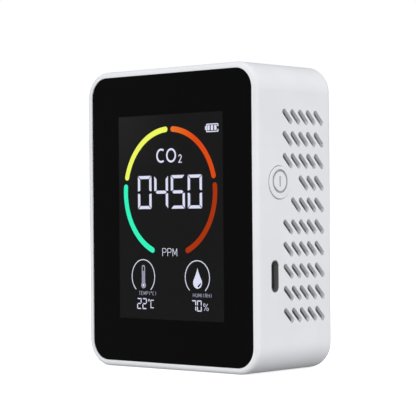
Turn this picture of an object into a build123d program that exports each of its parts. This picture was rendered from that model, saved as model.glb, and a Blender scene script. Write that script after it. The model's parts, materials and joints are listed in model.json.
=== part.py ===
"""Desktop carbon dioxide monitor in millimetres.

X runs to the right of the screen, Y to the back and Z up. The origin is the middle of the base.
"""
import os

from build123d import *

os.makedirs("parts", exist_ok=True)

# Case
width = 67.0
height = 88.0
depth = 34.0
wall = 2.0
thin_wall = 1.3
cover_t = 2.0
corner_r = 7.9
front_edge_r = 1.3
back_edge_r = 1.8

# Front lens and what lies behind it
lens_recess = 0.25
lens_t = 0.5
lens_w = 63.0
lens_h = 84.4
lens_r = 5.9
lens_gap = 0.06
mask_t = 0.1
tape_t = 0.15
web_t = 1.2
window_w = 41.2
window_h = 59.8
window_x = -0.25
window_z = 44.4

# Display
polariser_t = 0.2
glass_t = 0.55
glass_w = 45.0
glass_h = 64.0
glass_ledge = 2.5
glass_gap = 0.5
pin_room = 1.0
tray_wall = 1.1
pin_count = 28
pin_pitch = 1.5

# Socket, button and grille in the right-hand side
usb_y = -9.56
usb_z = 27.5
usb_w = 8.94
usb_h = 3.16
usb_wall = 0.3
usb_length = 7.3
usb_recess = 0.1
usb_gap = 0.05
button_y = -7.35
button_z = 53.9
button_d = 9.3
button_gap = 0.14
button_proud = 0.3
slot_length = 5.5
slot_w = 1.6
slot_angle = -43.3
slot_pitch_y = 3.57
slot_pitch_z = 6.27
slot_columns = 5
slot_rows = 10
grille_y = 3.72
grille_z = 44.4
edge_break = 0.1

# Boards, screws and battery
board_t = 1.0
board_w = 61.6
board_h = 74.0
board_x = 0.2
seat_gap = 0.06
case_screw_x = 27.5
case_screw_z = 38.0
board_screw_x = 26.6
board_screw_z = 30.0
pack_w = 34.0
pack_h = 50.0
pack_t = 7.0
pack_z = 37.0
lead_d = 1.1

# Planes and places that follow from the sizes above
front_y = -depth / 2
back_y = depth / 2
side_x = width / 2
mid_z = height / 2
inner_w = width - 2 * wall
inner_h = height - 2 * wall
lens_rear_y = front_y + lens_recess + lens_t
mask_rear_y = lens_rear_y + mask_t
web_front_y = mask_rear_y + tape_t
web_rear_y = web_front_y + web_t
film_gap = 0.05
glass_front_y = web_front_y + film_gap + polariser_t
glass_mid_y = glass_front_y + glass_t
glass_rear_y = glass_mid_y + glass_t
board_rear_y = usb_y - usb_h / 2 - seat_gap
board_front_y = board_rear_y - board_t
cover_front_y = back_y - cover_t
glass_low_z = window_z - glass_h / 2 - glass_ledge
opening_h = glass_h + glass_ledge + pin_room + glass_gap
opening_z = window_z - (glass_ledge + pin_room - glass_gap) / 2


def layer(y):
    """Plane at depth y that faces the front: its own x is X and its own y is Z."""
    return Plane.XZ.offset(-y)


def corners(x, z):
    """The four places at x and z either side of the middle of the front."""
    return [(sx * x, mid_z + sz * z) for sx in (-1, 1) for sz in (-1, 1)]


# The grille is rows of slanted slots. Slots that would meet the button are left out on its side.
slot_ys = [grille_y + (i - (slot_columns - 1) / 2) * slot_pitch_y for i in range(slot_columns)]
slot_zs = [grille_z + ((slot_rows - 1) / 2 - i) * slot_pitch_z for i in range(slot_rows)]
all_slots = [(y, z) for z in slot_zs for y in slot_ys]
near_row_z = min(slot_zs, key=lambda z: abs(z - button_z))
next_row_z = near_row_z - slot_pitch_z
right_slots = []
for y, z in all_slots:
    if abs(z - near_row_z) < 1 and y < slot_ys[2] - 1:
        continue
    if abs(z - next_row_z) < 1 and y < slot_ys[1] - 1:
        continue
    right_slots.append((y, z))

# ---------------------------------------------------------------- housing
boss_r = 3.5
pilot_r = 0.9
pilot_depth = 8.0
board_boss_r = 2.2
board_pilot_r = 0.8
board_pilot_depth = 2.6
rest_x = 14.0
rest_z = 18.0
rest_length = 4.0
rest_t = 1.1
rest_depth = 1.5
rib_w = 1.0
sunk = 0.5
thin_w = 26.6
thin_h = 64.0
flange_r = 5.8
flange_t = 0.7
flange_gap = 0.05
key_w = 1.4
key_reach = 1.1
key_gap = 0.15
key_rib_h = 2.0
key_rib_t = 1.4

with BuildPart() as housing:
    with BuildSketch(layer(back_y)):
        with Locations((0, mid_z)):
            RectangleRounded(width, height, corner_r)
    extrude(amount=depth)
    fillet(housing.faces().sort_by(Axis.Y)[0].edges(), front_edge_r)
    fillet(housing.faces().sort_by(Axis.Y)[-1].edges(), back_edge_r)
    # Pocket that the lens is glued into
    with BuildSketch(layer(web_front_y)):
        with Locations((0, mid_z)):
            RectangleRounded(lens_w + 2 * lens_gap, lens_h + 2 * lens_gap, lens_r + lens_gap)
    extrude(amount=web_front_y - front_y, mode=Mode.SUBTRACT)
    # Inside, open to the back
    with BuildSketch(layer(back_y)):
        with Locations((0, mid_z)):
            RectangleRounded(inner_w, inner_h, corner_r - wall)
    extrude(amount=back_y - web_rear_y, mode=Mode.SUBTRACT)
    # Side walls thinned behind the grilles and the button
    for side in (-1, 1):
        with BuildSketch(Plane.YZ.offset(side * (side_x - thin_wall))):
            with Locations((0, mid_z)):
                Rectangle(thin_w, thin_h)
        extrude(amount=-side * (wall - thin_wall), mode=Mode.SUBTRACT)
    # Opening for the display glass
    with BuildSketch(layer(web_rear_y)):
        with Locations((window_x, opening_z)):
            RectangleRounded(glass_w + 2 * glass_gap, opening_h, glass_gap)
    extrude(amount=web_t, mode=Mode.SUBTRACT)
    # Corner bosses for the back cover, tied to the walls by ribs
    rib_x = (case_screw_x + inner_w / 2 + sunk) / 2
    rib_z = (case_screw_z + inner_h / 2 + sunk) / 2
    with BuildSketch(layer(cover_front_y)):
        with Locations(*corners(case_screw_x, case_screw_z)):
            Circle(boss_r)
        with Locations(*corners(rib_x, case_screw_z)):
            Rectangle(2 * (rib_x - case_screw_x), rib_w)
        with Locations(*corners(case_screw_x, rib_z)):
            Rectangle(rib_w, 2 * (rib_z - case_screw_z))
    extrude(amount=cover_front_y - web_rear_y)
    with BuildSketch(layer(cover_front_y)):
        with Locations(*corners(case_screw_x, case_screw_z)):
            Circle(pilot_r)
    extrude(amount=pilot_depth, mode=Mode.SUBTRACT)
    # Pads that the back cover rests on between the bosses
    with BuildSketch(layer(cover_front_y)):
        with Locations(*corners(inner_w / 2 + (sunk - rest_t) / 2, rest_z)):
            Rectangle(rest_t + sunk, rest_length)
        with Locations(*corners(rest_x, inner_h / 2 + (sunk - rest_t) / 2)):
            Rectangle(rest_length, rest_t + sunk)
    extrude(amount=rest_depth)
    # Bosses for the main board
    with BuildSketch(layer(board_front_y)):
        with Locations(*corners(board_screw_x, board_screw_z)):
            Circle(board_boss_r)
    extrude(amount=board_front_y - web_rear_y)
    with BuildSketch(layer(board_front_y)):
        with Locations(*corners(board_screw_x, board_screw_z)):
            Circle(board_pilot_r)
    extrude(amount=board_pilot_depth, mode=Mode.SUBTRACT)
    # Two ribs that keep the button from turning
    with BuildSketch(Plane.YZ.offset(side_x - thin_wall)):
        with Locations((button_y, button_z - flange_r - key_reach - 0.1 * key_rib_h)):
            with GridLocations(key_w + 2 * key_gap + rib_w, 1, 2, 1):
                Rectangle(rib_w, key_rib_h)
    extrude(amount=-key_rib_t)
    # Right-hand side: grille, button hole and socket opening
    with BuildSketch(Plane.YZ.offset(side_x)):
        with Locations(*right_slots):
            SlotOverall(slot_length, slot_w, rotation=slot_angle)
        with Locations((button_y, button_z)):
            Circle(button_d / 2 + button_gap)
        with Locations((usb_y, usb_z)):
            SlotOverall(usb_w + 2 * usb_gap, usb_h + 2 * usb_gap, rotation=90)
    extrude(amount=-wall, mode=Mode.SUBTRACT)
    # Left-hand side: the whole grille
    with BuildSketch(Plane.YZ.offset(-side_x)):
        with Locations(*all_slots):
            SlotOverall(slot_length, slot_w, rotation=slot_angle)
    extrude(amount=wall, mode=Mode.SUBTRACT)
    # Broken edges round every opening in the sides
    flats = housing.faces().filter_by(Axis.X).sort_by(Axis.X)
    rims = [w for face in (flats[0], flats[-1]) for w in face.inner_wires()]
    chamfer([e for rim in rims for e in rim.edges()], edge_break)

housing.part.label = "housing"
export_step(housing.part, "parts/housing.step")

# ---------------------------------------------------------------- back cover and its screws
cover_gap = 0.15
cover_chamfer = 0.25
cover_w = inner_w - 2 * cover_gap
cover_h = inner_h - 2 * cover_gap
head_r = 2.0
head_t = 1.1
head_gap = 0.2
head_edge_r = 0.45
bore_depth = 1.25
screw_hole_r = 1.2
lip_t = 1.1
lip_length = 12.0
lip_depth = 1.5
rear_plane = Plane(origin=(0, back_y, mid_z), x_dir=(-1, 0, 0), z_dir=(0, 1, 0))

with BuildPart() as back_cover:
    with BuildSketch(layer(back_y)):
        with Locations((0, mid_z)):
            RectangleRounded(cover_w, cover_h, corner_r - wall - cover_gap)
    extrude(amount=cover_t)
    chamfer(back_cover.faces().sort_by(Axis.Y)[-1].edges(), cover_chamfer)
    # Lips that centre the cover in the housing
    with BuildSketch(layer(cover_front_y)):
        with Locations((0, mid_z)):
            with GridLocations(cover_w - lip_t, 1, 2, 1):
                Rectangle(lip_t, lip_length)
            with GridLocations(1, cover_h - lip_t, 1, 2):
                Rectangle(lip_length, lip_t)
    extrude(amount=lip_depth)
    with Locations(rear_plane):
        with GridLocations(2 * case_screw_x, 2 * case_screw_z, 2, 2):
            CounterBoreHole(
                radius=screw_hole_r,
                counter_bore_radius=head_r + head_gap,
                counter_bore_depth=bore_depth,
            )

back_cover.part.label = "back_cover"
export_step(back_cover.part, "parts/back_cover.step")


recess_w = 2.0
recess_slot = 0.42
recess_depth = 0.7
screw_gap = 0.05
screw_length = 7.5


def cross_recess():
    """Cross-shaped driver recess, as a sketch to cut."""
    Rectangle(recess_w, recess_slot)
    Rectangle(recess_slot, recess_w)


with BuildPart() as case_screws:
    head_rear_y = back_y - bore_depth + head_t
    with BuildSketch(layer(head_rear_y)):
        with Locations(*corners(case_screw_x, case_screw_z)):
            Circle(head_r)
    extrude(amount=head_t)
    fillet(case_screws.faces().sort_by(Axis.Y)[-4:].edges(), head_edge_r)
    with BuildSketch(layer(back_y - bore_depth)):
        with Locations(*corners(case_screw_x, case_screw_z)):
            Circle(pilot_r - screw_gap)
    extrude(amount=screw_length)
    with BuildSketch(layer(head_rear_y)):
        with Locations(*corners(case_screw_x, case_screw_z)):
            cross_recess()
    extrude(amount=recess_depth, mode=Mode.SUBTRACT)

case_screws.part.label = "case_screws"
export_step(case_screws.part, "parts/case_screws.step")

# ---------------------------------------------------------------- front lens, print and tape
lens_edge_r = 0.08
tape_inset = 1.0

with BuildPart() as front_lens:
    with BuildSketch(layer(lens_rear_y)):
        with Locations((0, mid_z)):
            RectangleRounded(lens_w, lens_h, lens_r)
    extrude(amount=lens_t)
    fillet(front_lens.faces().sort_by(Axis.Y)[0].edges(), lens_edge_r)

front_lens.part.label = "front_lens"
export_step(front_lens.part, "parts/front_lens.step")

with BuildPart() as lens_mask:
    with BuildSketch(layer(mask_rear_y)):
        with Locations((0, mid_z)):
            RectangleRounded(lens_w, lens_h, lens_r)
        with Locations((window_x, window_z)):
            Rectangle(window_w, window_h, mode=Mode.SUBTRACT)
    extrude(amount=mask_t)

lens_mask.part.label = "lens_mask"
export_step(lens_mask.part, "parts/lens_mask.step")

with BuildPart() as lens_tape:
    with BuildSketch(layer(web_front_y)):
        with Locations((0, mid_z)):
            RectangleRounded(
                lens_w - 2 * tape_inset, lens_h - 2 * tape_inset, lens_r - tape_inset
            )
        with Locations((window_x, opening_z)):
            Rectangle(glass_w + 2 * tape_inset, opening_h + tape_inset, mode=Mode.SUBTRACT)
    extrude(amount=tape_t)

lens_tape.part.label = "lens_tape"
export_step(lens_tape.part, "parts/lens_tape.step")

# ---------------------------------------------------------------- liquid crystal display
polariser_border = 1.2
polariser_w = window_w + 2 * polariser_border
polariser_h = window_h + 2 * polariser_border

with BuildPart() as lcd_front_polariser:
    with BuildSketch(layer(glass_front_y)):
        with Locations((window_x, window_z)):
            Rectangle(polariser_w, polariser_h)
    extrude(amount=polariser_t)

lcd_front_polariser.part.label = "lcd_front_polariser"
export_step(lcd_front_polariser.part, "parts/lcd_front_polariser.step")

with BuildPart() as lcd_front_glass:
    with BuildSketch(layer(glass_mid_y)):
        with Locations((window_x, window_z)):
            Rectangle(glass_w, glass_h)
    extrude(amount=glass_t)

lcd_front_glass.part.label = "lcd_front_glass"
export_step(lcd_front_glass.part, "parts/lcd_front_glass.step")

with BuildPart() as lcd_rear_glass:
    with BuildSketch(layer(glass_rear_y)):
        with Locations((window_x, window_z - glass_ledge / 2)):
            Rectangle(glass_w, glass_h + glass_ledge)
    extrude(amount=glass_t)

lcd_rear_glass.part.label = "lcd_rear_glass"
export_step(lcd_rear_glass.part, "parts/lcd_rear_glass.step")

with BuildPart() as lcd_rear_polariser:
    with BuildSketch(layer(glass_rear_y + polariser_t)):
        with Locations((window_x, window_z)):
            Rectangle(polariser_w, polariser_h)
    extrude(amount=polariser_t)

lcd_rear_polariser.part.label = "lcd_rear_polariser"
export_step(lcd_rear_polariser.part, "parts/lcd_rear_polariser.step")

# Pins clip over the ledge of the rear glass and run back through the main board.
pin_w = 0.4
pin_t = 0.25
pin_reach = 0.6
finger_h = 1.5
pin_z = glass_low_z - film_gap - pin_t / 2

with BuildPart() as lcd_pins:
    with BuildSketch(layer(board_rear_y + pin_reach)):
        with Locations((window_x, pin_z)):
            with GridLocations(pin_pitch, 1, pin_count, 1):
                Rectangle(pin_w, pin_t)
    extrude(amount=board_rear_y + pin_reach - glass_mid_y + pin_t)
    for finger_y in (glass_mid_y, glass_rear_y + pin_t):
        with BuildSketch(layer(finger_y)):
            with Locations((window_x, pin_z + finger_h / 2)):
                with GridLocations(pin_pitch, 1, pin_count, 1):
                    Rectangle(pin_w, finger_h + pin_t)
        extrude(amount=pin_t)

lcd_pins.part.label = "lcd_pins"
export_step(lcd_pins.part, "parts/lcd_pins.step")

# ---------------------------------------------------------------- backlight
tray_gap = 0.4
tray_inner_w = polariser_w + 2 * tray_gap
tray_inner_h = polariser_h + 2 * tray_gap
tray_floor = 0.15
guide_gap = 0.2
strip_h = 2.2
strip_t = 0.2
strip_end_gap = 0.5
led_w = 3.0
led_h = 1.2
led_t = 1.0
led_count = 6
led_pitch = 7.0
guide_h = tray_inner_h - strip_h - 2 * guide_gap
guide_z = window_z - tray_inner_h / 2 + guide_gap + guide_h / 2
guide_front_y = glass_rear_y + polariser_t + film_gap
led_z = window_z + tray_inner_h / 2 - strip_h / 2
tray_floor_y = board_front_y - tray_floor

with BuildPart() as backlight_frame:
    with BuildSketch(layer(board_front_y)):
        with Locations((window_x, window_z)):
            Rectangle(tray_inner_w + 2 * tray_wall, tray_inner_h + 2 * tray_wall)
    extrude(amount=board_front_y - glass_rear_y)
    with BuildSketch(layer(tray_floor_y)):
        with Locations((window_x, window_z)):
            Rectangle(tray_inner_w, tray_inner_h)
    extrude(amount=tray_floor_y - glass_rear_y, mode=Mode.SUBTRACT)

backlight_frame.part.label = "backlight_frame"
export_step(backlight_frame.part, "parts/backlight_frame.step")

with BuildPart() as backlight_guide:
    with BuildSketch(layer(tray_floor_y)):
        with Locations((window_x, guide_z)):
            Rectangle(tray_inner_w - 2 * guide_gap, guide_h)
    extrude(amount=tray_floor_y - guide_front_y)

backlight_guide.part.label = "backlight_guide"
export_step(backlight_guide.part, "parts/backlight_guide.step")

with BuildPart() as backlight_leds:
    with BuildSketch(layer(tray_floor_y)):
        with Locations((window_x, led_z)):
            Rectangle(tray_inner_w - 2 * strip_end_gap, strip_h - 2 * guide_gap)
    extrude(amount=strip_t)
    with BuildSketch(layer(tray_floor_y - strip_t)):
        with Locations((window_x, led_z - guide_gap)):
            with GridLocations(led_pitch, 1, led_count, 1):
                Rectangle(led_w, led_h)
    extrude(amount=led_t)

backlight_leds.part.label = "backlight_leds"
export_step(backlight_leds.part, "parts/backlight_leds.step")

# ---------------------------------------------------------------- charging socket
usb_front_x = side_x - usb_recess
usb_rear_x = usb_front_x - usb_length
usb_inner_w = usb_w - 2 * usb_wall
usb_inner_h = usb_h - 2 * usb_wall
usb_leg_w = 1.0
usb_leg_insets = (1.2, 4.2)
usb_leg_xs = [usb_rear_x + inset for inset in usb_leg_insets]
usb_leg_z = usb_w / 2 - usb_wall / 2
usb_leg_places = [(x, usb_z + s * usb_leg_z) for x in usb_leg_xs for s in (-1, 1)]
leg_reach = 0.4

with BuildPart() as usb_shell:
    with BuildSketch(Plane.YZ.offset(usb_front_x)):
        with Locations((usb_y, usb_z)):
            SlotOverall(usb_w, usb_h, rotation=90)
            SlotOverall(usb_inner_w, usb_inner_h, rotation=90, mode=Mode.SUBTRACT)
    extrude(amount=-usb_length)
    # Four legs that solder into the board
    with BuildSketch(layer(usb_y)):
        with Locations(*usb_leg_places):
            Rectangle(usb_leg_w, usb_wall)
    extrude(amount=usb_y - board_front_y + leg_reach)

usb_shell.part.label = "usb_shell"
export_step(usb_shell.part, "parts/usb_shell.step")

tongue_h = 0.7
tongue_w = 6.7
tongue_recess = 0.75
tongue_chamfer = 0.12
block_gap = 0.02
block_length = 1.9
tongue_front_x = usb_front_x - tongue_recess

with BuildPart() as usb_insulator:
    with BuildSketch(Plane.YZ.offset(usb_rear_x)):
        with Locations((usb_y, usb_z)):
            SlotOverall(usb_inner_w - 2 * block_gap, usb_inner_h - 2 * block_gap, rotation=90)
    extrude(amount=block_length)
    with BuildSketch(Plane.YZ.offset(usb_rear_x + block_length)):
        with Locations((usb_y, usb_z)):
            Rectangle(tongue_h, tongue_w)
    extrude(amount=tongue_front_x - usb_rear_x - block_length)
    chamfer(usb_insulator.faces().sort_by(Axis.X)[-1].edges(), tongue_chamfer)

usb_insulator.part.label = "usb_insulator"
export_step(usb_insulator.part, "parts/usb_insulator.step")

contact_t = 0.05
contact_w = 0.25
contact_pitch = 0.5
contact_inset = 0.4
contact_length = 3.4
contacts_per_side = 12

with BuildPart() as usb_contacts:
    with BuildSketch(Plane.YZ.offset(tongue_front_x - contact_inset)):
        with Locations((usb_y, usb_z)):
            with GridLocations(tongue_h + contact_t, contact_pitch, 2, contacts_per_side):
                Rectangle(contact_t, contact_w)
    extrude(amount=-contact_length)

usb_contacts.part.label = "usb_contacts"
export_step(usb_contacts.part, "parts/usb_contacts.step")

# ---------------------------------------------------------------- power button and its switch
cap_x = side_x + button_proud
cap_edge_r = 0.25
flange_x = side_x - thin_wall - flange_gap
stem_r = 2.0
stem_length = 1.6
plunger_r = 1.75
plunger_gap = 0.02
plunger_x = flange_x - flange_t - stem_length - plunger_gap
plunger_proud = 1.2
plunger_sunk = 1.0
plunger_edge_r = 0.2
switch_size = 6.0
switch_t = 3.5
switch_corner_r = 0.4
switch_hole_depth = 1.5
switch_x = plunger_x - plunger_proud
bracket_t = 0.3
ring_r = 3.05
mark_rise = 0.35
mark_w = 0.7
mark_depth = 0.65
stroke_w = 0.6
stroke_h = 3.0

with BuildPart() as power_button:
    with BuildSketch(Plane.YZ.offset(flange_x)):
        with Locations((button_y, button_z)):
            Circle(button_d / 2)
    extrude(amount=cap_x - flange_x)
    fillet(power_button.faces().sort_by(Axis.X)[-1].edges(), cap_edge_r)
    # Flange and key behind the wall
    with BuildSketch(Plane.YZ.offset(flange_x)):
        with Locations((button_y, button_z)):
            Circle(flange_r)
        with Locations((button_y, button_z - flange_r)):
            Rectangle(key_w, 2 * key_reach)
    extrude(amount=-flange_t)
    # Stem that meets the switch
    with BuildSketch(Plane.YZ.offset(flange_x - flange_t)):
        with Locations((button_y, button_z)):
            Circle(stem_r)
    extrude(amount=-stem_length)
    # Sunk ring with a stroke in it, a little above the middle of the cap
    with BuildSketch(Plane.YZ.offset(cap_x)):
        with Locations((button_y, button_z + mark_rise)):
            Circle(ring_r + mark_w / 2)
            Circle(ring_r - mark_w / 2, mode=Mode.SUBTRACT)
            Rectangle(stroke_w, stroke_h)
    extrude(amount=-mark_depth, mode=Mode.SUBTRACT)

power_button.part.label = "power_button"
export_step(power_button.part, "parts/power_button.step")

with BuildPart() as switch_plunger:
    with BuildSketch(Plane.YZ.offset(plunger_x)):
        with Locations((button_y, button_z)):
            Circle(plunger_r)
    extrude(amount=-(plunger_proud + plunger_sunk))
    fillet(switch_plunger.faces().sort_by(Axis.X)[-1].edges(), plunger_edge_r)

switch_plunger.part.label = "switch_plunger"
export_step(switch_plunger.part, "parts/switch_plunger.step")

with BuildPart() as switch_body:
    with BuildSketch(Plane.YZ.offset(switch_x)):
        with Locations((button_y, button_z)):
            RectangleRounded(switch_size, switch_size, switch_corner_r)
    extrude(amount=-switch_t)
    with BuildSketch(Plane.YZ.offset(switch_x)):
        with Locations((button_y, button_z)):
            Circle(plunger_r + screw_gap)
    extrude(amount=-switch_hole_depth, mode=Mode.SUBTRACT)

switch_body.part.label = "switch_body"
export_step(switch_body.part, "parts/switch_body.step")

bracket_hole_gap = 0.3
bracket_hole_r = plunger_r + bracket_hole_gap
bracket_cheek = 2.6
bracket_leg_w = 1.0
bracket_leg_inset = 1.6
bracket_leg_x = switch_x - bracket_leg_inset
switch_front_y = button_y - switch_size / 2

with BuildPart() as switch_bracket:
    with BuildSketch(Plane.YZ.offset(switch_x + bracket_t)):
        with Locations((button_y, button_z)):
            Rectangle(switch_size, switch_size + 2 * bracket_t)
            Circle(bracket_hole_r, mode=Mode.SUBTRACT)
    extrude(amount=-bracket_t)
    # Cheeks over the switch, and a leg from each into the board
    with BuildSketch(layer(button_y + switch_size / 2)):
        with Locations((switch_x - bracket_cheek / 2, button_z)):
            with GridLocations(1, switch_size + bracket_t, 1, 2):
                Rectangle(bracket_cheek, bracket_t)
    extrude(amount=switch_size)
    with BuildSketch(layer(switch_front_y)):
        with Locations((bracket_leg_x, button_z)):
            with GridLocations(1, switch_size + bracket_t, 1, 2):
                Rectangle(bracket_leg_w, bracket_t)
    extrude(amount=switch_front_y - board_front_y + leg_reach)

switch_bracket.part.label = "switch_bracket"
export_step(switch_bracket.part, "parts/switch_bracket.step")

terminal_w = 0.7
terminal_t = 0.3
terminal_inset = 0.6
terminal_x = switch_x - switch_t + terminal_inset
terminal_pitch = 4.5

with BuildPart() as switch_terminals:
    with BuildSketch(layer(switch_front_y)):
        with Locations((terminal_x, button_z)):
            with GridLocations(1, terminal_pitch, 1, 2):
                Rectangle(terminal_t, terminal_w)
    extrude(amount=switch_front_y - board_front_y + leg_reach)

switch_terminals.part.label = "switch_terminals"
export_step(switch_terminals.part, "parts/switch_terminals.step")

# ---------------------------------------------------------------- main board
sensor_x = -18.0
sensor_z = 46.5
sensor_w = 20.0
sensor_h = 33.0
header_pitch = 2.54
header_inset = 1.5
header_z = sensor_h / 2 - header_inset
header_rows = ((5, sensor_z + header_z), (4, sensor_z - header_z))
socket_x = 5.0
socket_z = 74.0
lead_pitch = 2.0
notch_w = 7.6
notch_h = 3.0
board_hole_r = 1.2
pin_hole_r = 0.4
header_hole_r = 0.5
lead_hole_r = 0.45
leg_slot_w = 1.3
leg_slot_h = 0.6
flange_room_gap = 0.8
flange_room_w = 2.6
flange_room_h = 2 * (flange_r + flange_room_gap)
pin_sunk = 0.05
flush_pin_y = board_front_y + pin_sunk

with BuildPart() as main_board:
    with BuildSketch(layer(board_rear_y)):
        with Locations((board_x, mid_z)):
            Rectangle(board_w, board_h)
            with GridLocations(board_w - notch_w, board_h - notch_h, 2, 2):
                Rectangle(notch_w, notch_h, mode=Mode.SUBTRACT)
        with Locations(*corners(board_screw_x, board_screw_z)):
            Circle(board_hole_r, mode=Mode.SUBTRACT)
        with Locations((window_x, pin_z)):
            with GridLocations(pin_pitch, 1, pin_count, 1):
                Circle(pin_hole_r, mode=Mode.SUBTRACT)
        for row_count, row_z in header_rows:
            with Locations((sensor_x, row_z)):
                with GridLocations(header_pitch, 1, row_count, 1):
                    Circle(header_hole_r, mode=Mode.SUBTRACT)
        with Locations((socket_x, socket_z)):
            with GridLocations(lead_pitch, 1, 2, 1):
                Circle(lead_hole_r, mode=Mode.SUBTRACT)
        with Locations(*usb_leg_places):
            Rectangle(leg_slot_w, leg_slot_h, mode=Mode.SUBTRACT)
        with Locations((bracket_leg_x, button_z)):
            with GridLocations(1, switch_size + bracket_t, 1, 2):
                Rectangle(leg_slot_w, leg_slot_h, mode=Mode.SUBTRACT)
        with Locations((terminal_x, button_z)):
            with GridLocations(1, terminal_pitch, 1, 2):
                Circle(header_hole_r, mode=Mode.SUBTRACT)
        # Room for the button's flange
        with Locations((board_x + board_w / 2, button_z)):
            Rectangle(flange_room_w, flange_room_h, mode=Mode.SUBTRACT)
    extrude(amount=board_t)

main_board.part.label = "main_board"
export_step(main_board.part, "parts/main_board.step")

board_head_r = 1.8
board_head_t = 1.2
board_head_edge_r = 0.4
board_screw_reach = 2.3

with BuildPart() as board_screws:
    with BuildSketch(layer(board_rear_y + board_head_t)):
        with Locations(*corners(board_screw_x, board_screw_z)):
            Circle(board_head_r)
    extrude(amount=board_head_t)
    fillet(board_screws.faces().sort_by(Axis.Y)[-4:].edges(), board_head_edge_r)
    with BuildSketch(layer(board_rear_y)):
        with Locations(*corners(board_screw_x, board_screw_z)):
            Circle(board_pilot_r - screw_gap)
    extrude(amount=board_t + board_screw_reach)
    with BuildSketch(layer(board_rear_y + board_head_t)):
        with Locations(*corners(board_screw_x, board_screw_z)):
            cross_recess()
    extrude(amount=recess_depth, mode=Mode.SUBTRACT)

board_screws.part.label = "board_screws"
export_step(board_screws.part, "parts/board_screws.step")

# ---------------------------------------------------------------- carbon dioxide sensor
spacer_t = 2.5
spacer_hole_r = 0.45
sensor_board_t = 1.0
sensor_pin_r = 0.32
sensor_pin_reach = 0.8
sensor_front_y = board_rear_y + spacer_t
sensor_rear_y = sensor_front_y + sensor_board_t
chamber_w = 19.0
chamber_h = 25.0
chamber_t = 7.5
chamber_wall = 0.8
chamber_r = 2.0
chamber_rear_y = sensor_rear_y + chamber_t
vent_r = 2.8
vent_spread = 12.0
membrane_t = 0.3
membrane_lap = 0.7
membrane_r = vent_r + membrane_lap
lamp_drop = 9.0
lamp_z = sensor_z - lamp_drop
lamp_r = 1.5
lamp_h = 4.5
lamp_dome_r = 1.3
detector_rise = 8.0
detector_z = sensor_z + detector_rise
detector_r = 2.35
detector_h = 2.6
detector_rim_r = 2.75
detector_rim_h = 0.4
detector_window = 2.0
detector_window_depth = 0.3

with BuildPart() as co2_sensor_board:
    with BuildSketch(layer(sensor_rear_y)):
        with Locations((sensor_x, sensor_z)):
            Rectangle(sensor_w, sensor_h)
        for row_count, row_z in header_rows:
            with Locations((sensor_x, row_z)):
                with GridLocations(header_pitch, 1, row_count, 1):
                    Circle(header_hole_r, mode=Mode.SUBTRACT)
    extrude(amount=sensor_board_t)

co2_sensor_board.part.label = "co2_sensor_board"
export_step(co2_sensor_board.part, "parts/co2_sensor_board.step")

with BuildPart() as co2_sensor_spacers:
    for row_count, row_z in header_rows:
        with BuildSketch(layer(sensor_front_y)):
            with Locations((sensor_x, row_z)):
                Rectangle(header_pitch * row_count, header_pitch)
                with GridLocations(header_pitch, 1, row_count, 1):
                    Circle(spacer_hole_r, mode=Mode.SUBTRACT)
        extrude(amount=spacer_t)

co2_sensor_spacers.part.label = "co2_sensor_spacers"
export_step(co2_sensor_spacers.part, "parts/co2_sensor_spacers.step")

with BuildPart() as co2_sensor_pins:
    for row_count, row_z in header_rows:
        with BuildSketch(layer(sensor_rear_y + sensor_pin_reach)):
            with Locations((sensor_x, row_z)):
                with GridLocations(header_pitch, 1, row_count, 1):
                    Circle(sensor_pin_r)
        extrude(amount=sensor_rear_y + sensor_pin_reach - flush_pin_y)

co2_sensor_pins.part.label = "co2_sensor_pins"
export_step(co2_sensor_pins.part, "parts/co2_sensor_pins.step")

with BuildPart() as co2_chamber:
    with BuildSketch(layer(chamber_rear_y)):
        with Locations((sensor_x, sensor_z)):
            RectangleRounded(chamber_w, chamber_h, chamber_r)
    extrude(amount=chamber_t)
    with BuildSketch(layer(chamber_rear_y - chamber_wall)):
        with Locations((sensor_x, sensor_z)):
            RectangleRounded(
                chamber_w - 2 * chamber_wall,
                chamber_h - 2 * chamber_wall,
                chamber_r - chamber_wall,
            )
    extrude(amount=chamber_t - chamber_wall, mode=Mode.SUBTRACT)
    with BuildSketch(layer(chamber_rear_y)):
        with Locations((sensor_x, sensor_z)):
            with GridLocations(1, vent_spread, 1, 2):
                Circle(vent_r)
    extrude(amount=chamber_wall, mode=Mode.SUBTRACT)

co2_chamber.part.label = "co2_chamber"
export_step(co2_chamber.part, "parts/co2_chamber.step")

with BuildPart() as co2_filter_membranes:
    with BuildSketch(layer(chamber_rear_y + membrane_t)):
        with Locations((sensor_x, sensor_z)):
            with GridLocations(1, vent_spread, 1, 2):
                Circle(membrane_r)
    extrude(amount=membrane_t)

co2_filter_membranes.part.label = "co2_filter_membranes"
export_step(co2_filter_membranes.part, "parts/co2_filter_membranes.step")

with BuildPart() as co2_ir_lamp:
    with BuildSketch(layer(sensor_rear_y + lamp_h)):
        with Locations((sensor_x, lamp_z)):
            Circle(lamp_r)
    extrude(amount=lamp_h)
    fillet(co2_ir_lamp.faces().sort_by(Axis.Y)[-1].edges(), lamp_dome_r)

co2_ir_lamp.part.label = "co2_ir_lamp"
export_step(co2_ir_lamp.part, "parts/co2_ir_lamp.step")

with BuildPart() as co2_ir_detector:
    with BuildSketch(layer(sensor_rear_y + detector_h)):
        with Locations((sensor_x, detector_z)):
            Circle(detector_r)
    extrude(amount=detector_h)
    with BuildSketch(layer(sensor_rear_y + detector_rim_h)):
        with Locations((sensor_x, detector_z)):
            Circle(detector_rim_r)
    extrude(amount=detector_rim_h)
    with BuildSketch(layer(sensor_rear_y + detector_h)):
        with Locations((sensor_x, detector_z)):
            Rectangle(detector_window, detector_window)
    extrude(amount=detector_window_depth, mode=Mode.SUBTRACT)

co2_ir_detector.part.label = "co2_ir_detector"
export_step(co2_ir_detector.part, "parts/co2_ir_detector.step")

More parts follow.
